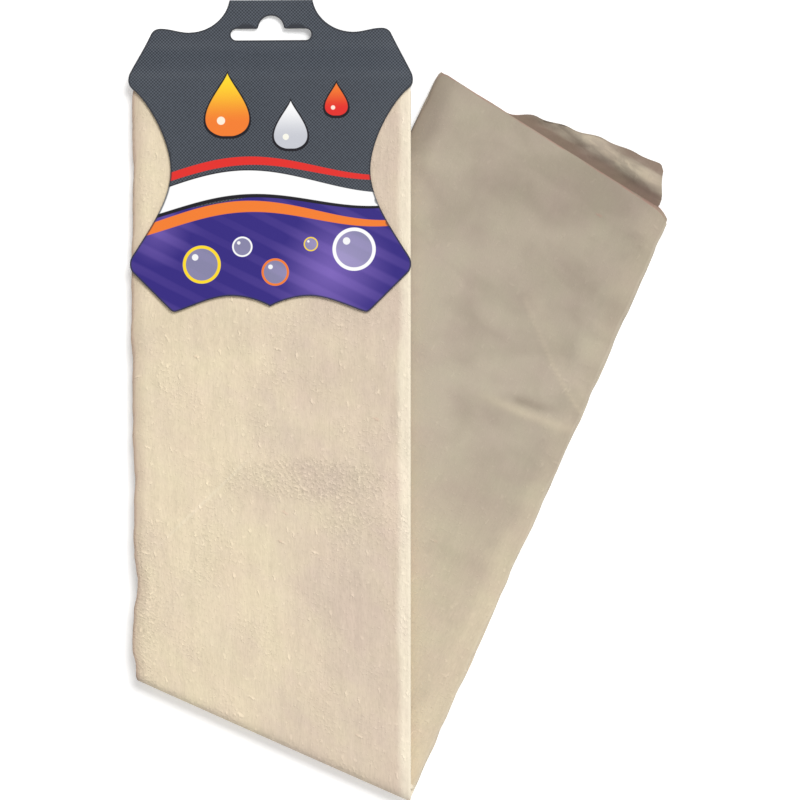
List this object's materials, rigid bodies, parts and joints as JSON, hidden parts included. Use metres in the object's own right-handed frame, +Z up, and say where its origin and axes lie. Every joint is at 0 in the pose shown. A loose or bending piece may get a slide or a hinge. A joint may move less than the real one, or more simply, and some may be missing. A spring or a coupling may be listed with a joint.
{
  "type": "chamois leather",
  "caption": "Chamois leather pleated into a strip and folded once across, with a hide-shaped header card and a hanging slot.",
  "frame": {"origin": "middle of the bounding box in plan, on the table the folded leather lies on", "axes": "+Z up from the table, +Y from the fold towards the header card along the front run, +X to the right towards the rear run"},
  "size_m": [0.2118, 0.3154, 0.0135],
  "materials": {
    "chamois": "undyed oil-tanned suede, matt, soft nap on both faces",
    "printed_board": "coated printed carton board, 0.4 mm, satin",
    "glue": "soft removable glue, pressed flat"
  },
  "bodies": {
    "root": {"chamois_rear_run": "chamois", "chamois_bottom_turn": "chamois"},
    "front": {"chamois_front_run": "chamois", "header_card": "printed_board", "glue_dot_front_left": "glue", "glue_dot_front_right": "glue", "glue_dot_back_left": "glue", "glue_dot_back_right": "glue"}
  },
  "joints": [
    {"name": "bottom_fold", "type": "hinge", "parent": "root", "child": "front", "pos_m": [-0.0477, -0.13027, 0.00535], "axis": [0.9245, -0.3811, 0], "range_deg": [0, 178], "deforming": ["chamois_bottom_turn"]}
  ]
}
